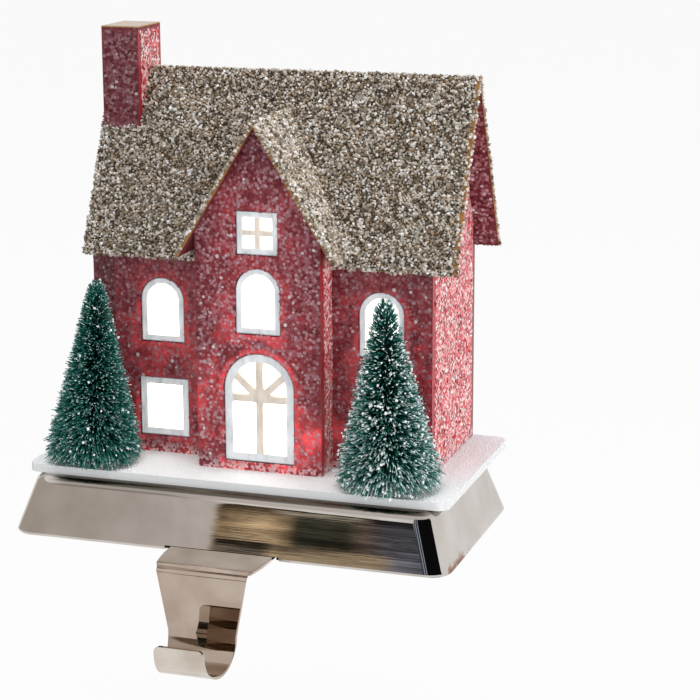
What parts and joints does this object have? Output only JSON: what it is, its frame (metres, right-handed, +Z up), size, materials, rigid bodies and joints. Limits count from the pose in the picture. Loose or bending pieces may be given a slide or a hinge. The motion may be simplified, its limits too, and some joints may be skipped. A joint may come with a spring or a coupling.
{
  "type": "mantel stocking holder",
  "caption": "Weighted mantel stocking holder: a lit glitter cottage with a bay, chimney and brush trees on a snow board, over a tapered polished base with a folded strip hook.",
  "frame": {"origin": "centre of the base's underside, on the plane that rests on the mantel", "axes": "+X to the right of someone facing the cottage, -Y to the front where the hook hangs, +Z up"},
  "size_m": [0.15, 0.1247, 0.1919],
  "materials": {
    "back_wall": "glitter-covered board",
    "ballast": "as cast",
    "base_shell": "polished nickel",
    "battery_box": "moulded",
    "battery_cell_back": "plain sleeve",
    "battery_cell_front": "plain sleeve",
    "battery_door": "moulded",
    "battery_door_screw": "plain",
    "bay_front_wall": "glitter-covered board",
    "bay_left_cheek": "glitter-covered board",
    "bay_right_cheek": "glitter-covered board",
    "bay_roof": "granule-covered card",
    "bay_window_frame": "painted card",
    "bay_window_pane": "frosted translucent sheet",
    "bottom_plate": "plain",
    "chimney_breast": "glitter-covered board",
    "chimney_cap": "painted white with sparkle",
    "chimney_stack": "glitter-covered board",
    "clamp_screws": "plain",
    "contact_bridge": "plain",
    "contact_negative": "plain",
    "contact_positive": "plain",
    "door_frame": "painted card",
    "door_pane": "frosted translucent sheet",
    "front_wall": "glitter-covered board",
    "gable_window_frame": "painted card",
    "gable_window_pane": "frosted translucent sheet",
    "hook": "polished nickel",
    "hook_rivets": "plain",
    "lamp": "clear epoxy",
    "lamp_holder": "moulded",
    "lead_negative": "insulated wire",
    "lead_positive": "insulated wire",
    "left_lower_window_frame": "painted card",
    "left_lower_window_pane": "frosted translucent sheet",
    "left_upper_window_frame": "painted card",
    "left_upper_window_pane": "frosted translucent sheet",
    "left_wall": "glitter-covered board",
    "main_roof": "granule-covered card",
    "nonslip_sheet": "foam rubber",
    "right_lower_window_frame": "painted card",
    "right_lower_window_pane": "frosted translucent sheet",
    "right_upper_window_frame": "painted card",
    "right_upper_window_pane": "frosted translucent sheet",
    "right_wall": "glitter-covered board",
    "snow_board": "painted white with sparkle",
    "switch_body": "moulded",
    "switch_slider": "moulded",
    "tree_bristles_left": "frosted bristles",
    "tree_bristles_right": "frosted bristles",
    "tree_wire_left": "plain",
    "tree_wire_right": "plain"
  },
  "bodies": {
    "holder": {"back_wall": "back_wall", "ballast": "ballast", "base_shell": "base_shell", "battery_box": "battery_box", "battery_cell_back": "battery_cell_back", "battery_cell_front": "battery_cell_front", "battery_door": "battery_door", "battery_door_screw": "battery_door_screw", "bay_front_wall": "bay_front_wall", "bay_left_cheek": "bay_left_cheek", "bay_right_cheek": "bay_right_cheek", "bay_roof": "bay_roof", "bay_window_frame": "bay_window_frame", "bay_window_pane": "bay_window_pane", "bottom_plate": "bottom_plate", "chimney_breast": "chimney_breast", "chimney_cap": "chimney_cap", "chimney_stack": "chimney_stack", "clamp_screws": "clamp_screws", "contact_bridge": "contact_bridge", "contact_negative": "contact_negative", "contact_positive": "contact_positive", "door_frame": "door_frame", "door_pane": "door_pane", "front_wall": "front_wall", "gable_window_frame": "gable_window_frame", "gable_window_pane": "gable_window_pane", "hook": "hook", "hook_rivets": "hook_rivets", "lamp": "lamp", "lamp_holder": "lamp_holder", "lead_negative": "lead_negative", "lead_positive": "lead_positive", "left_lower_window_frame": "left_lower_window_frame", "left_lower_window_pane": "left_lower_window_pane", "left_upper_window_frame": "left_upper_window_frame", "left_upper_window_pane": "left_upper_window_pane", "left_wall": "left_wall", "main_roof": "main_roof", "nonslip_sheet": "nonslip_sheet", "right_lower_window_frame": "right_lower_window_frame", "right_lower_window_pane": "right_lower_window_pane", "right_upper_window_frame": "right_upper_window_frame", "right_upper_window_pane": "right_upper_window_pane", "right_wall": "right_wall", "snow_board": "snow_board", "switch_body": "switch_body", "tree_bristles_left": "tree_bristles_left", "tree_bristles_right": "tree_bristles_right", "tree_wire_left": "tree_wire_left", "tree_wire_right": "tree_wire_right"},
    "switch_slider": {"switch_slider": "switch_slider"}
  },
  "joints": [
    {"name": "switch_slide", "type": "slide", "parent": "holder", "child": "switch_slider", "axis": [1, 0, 0], "range_m": [0, 0.003]}
  ]
}
